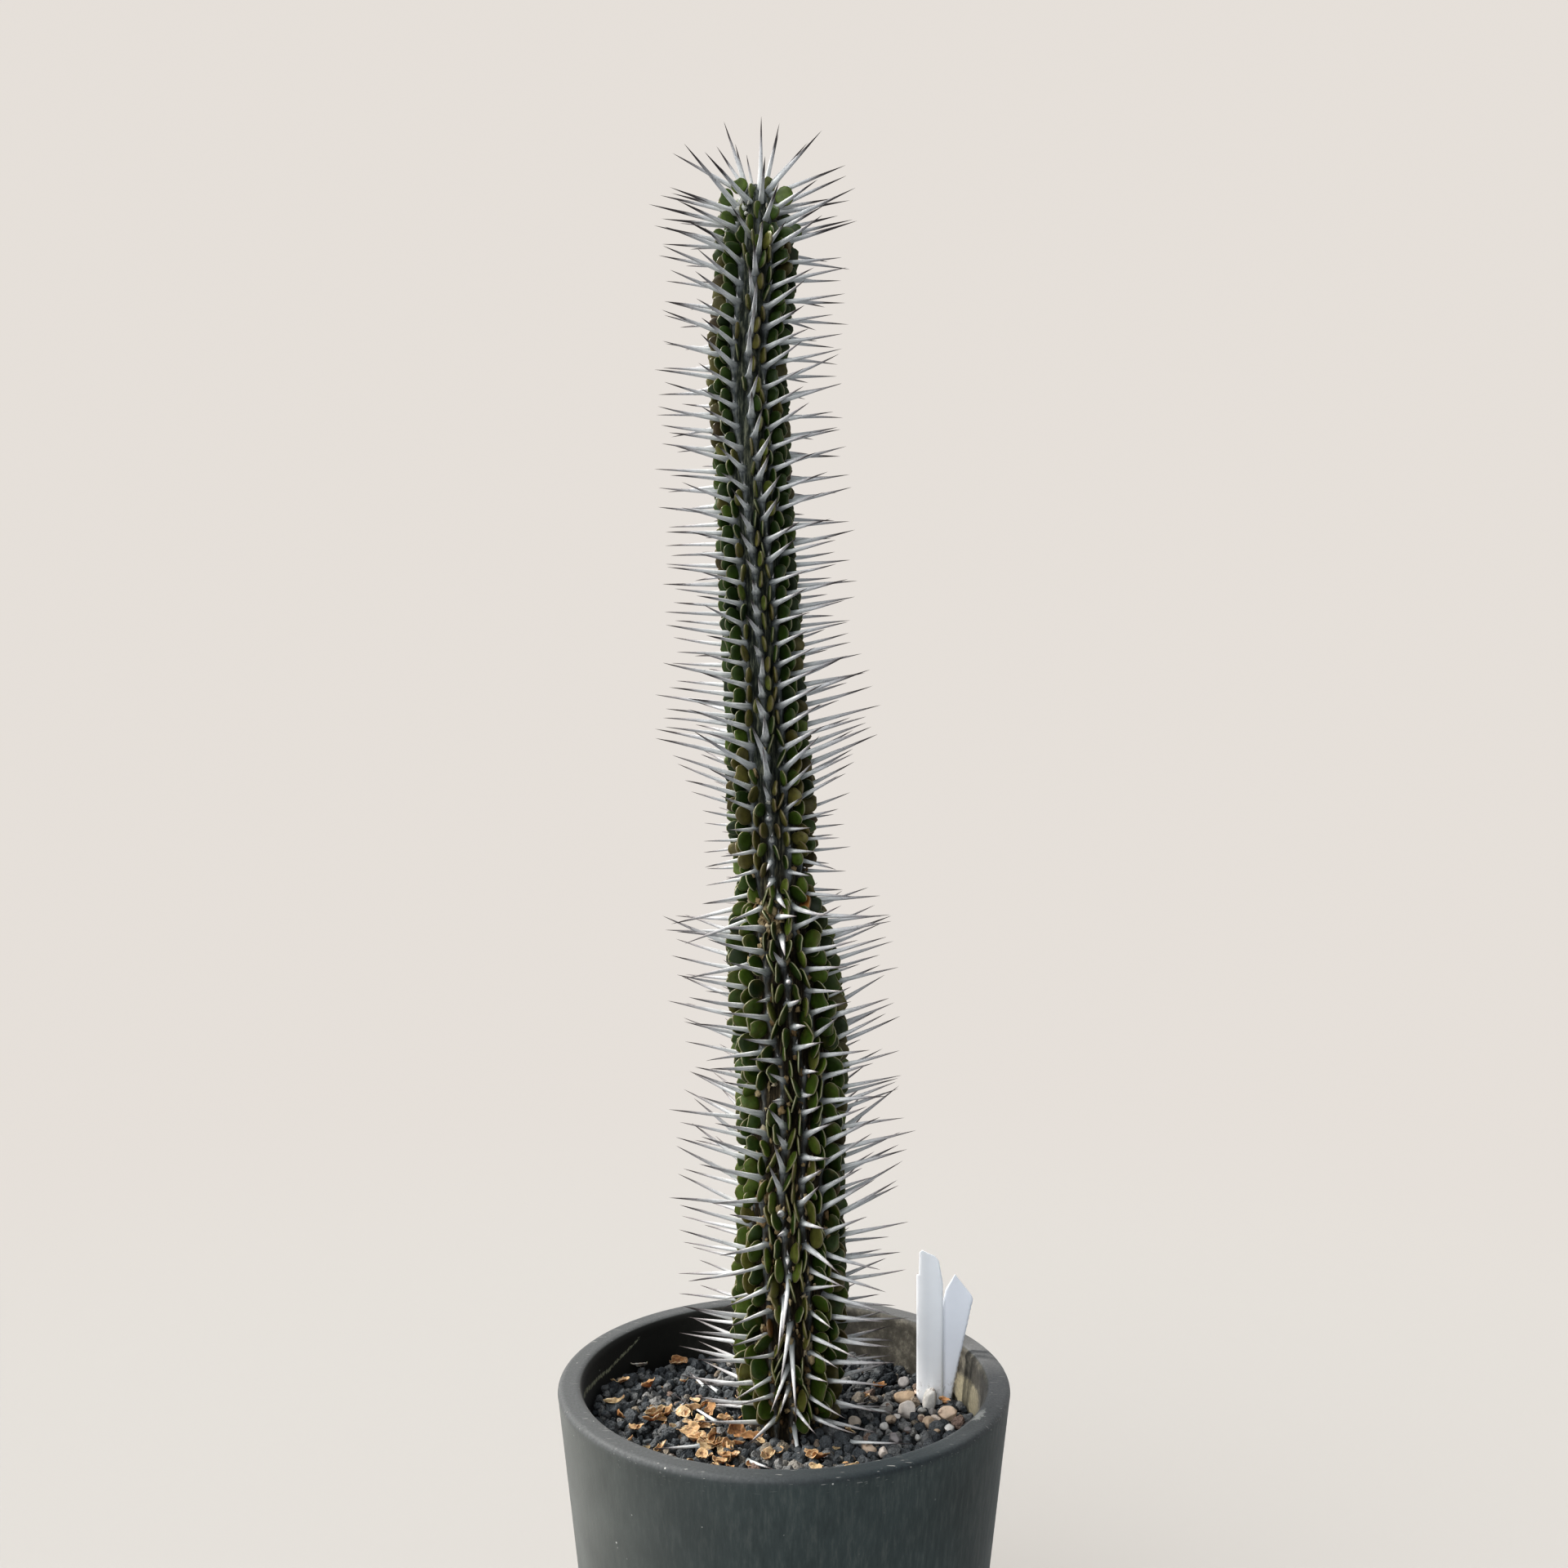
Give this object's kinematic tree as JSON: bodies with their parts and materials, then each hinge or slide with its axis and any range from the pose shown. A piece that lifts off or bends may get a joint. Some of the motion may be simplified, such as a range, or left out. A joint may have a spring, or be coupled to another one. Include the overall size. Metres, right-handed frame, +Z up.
{
  "type": "potted alluaudia montagnacii",
  "caption": "Tall single-stemmed spiny succulent with small round leaves, standing in a gravel-filled round tapered pot with plain plant tags.",
  "frame": {"origin": "centre of the pot's foot, on the surface that it stands on", "axes": "+Z up along the pot's axis, -Y towards the side seen in the picture, with the plant tags at +X"},
  "size_m": [0.21, 0.21, 0.791],
  "materials": {
    "pot": "matt dark grey, streaked and speckled",
    "gravel": "rough porous volcanic gravel",
    "plant": "green leaves, pale grey spines and grey-brown bark",
    "tag": "bare white plastic",
    "pebble": "worn smooth, tan, grey and white",
    "dry_leaf": "papery dry leaf, orange to pale tan"
  },
  "bodies": {
    "root": {"pot": "pot", "soil": "gravel", "plant": "plant", "tag_1": "tag", "tag_2": "tag", "pebble_01": "pebble", "pebble_02": "pebble", "pebble_03": "pebble", "pebble_04": "pebble", "pebble_05": "pebble", "pebble_06": "pebble", "pebble_07": "pebble", "pebble_08": "pebble", "pebble_09": "pebble", "pebble_10": "pebble", "pebble_11": "pebble", "pebble_12": "pebble", "dry_leaf_01": "dry_leaf", "dry_leaf_02": "dry_leaf", "dry_leaf_03": "dry_leaf", "dry_leaf_04": "dry_leaf", "dry_leaf_05": "dry_leaf", "dry_leaf_06": "dry_leaf", "dry_leaf_07": "dry_leaf", "dry_leaf_08": "dry_leaf", "dry_leaf_09": "dry_leaf", "dry_leaf_10": "dry_leaf", "dry_leaf_11": "dry_leaf", "dry_leaf_12": "dry_leaf", "dry_leaf_13": "dry_leaf", "dry_leaf_14": "dry_leaf"}
  },
  "joints": []
}
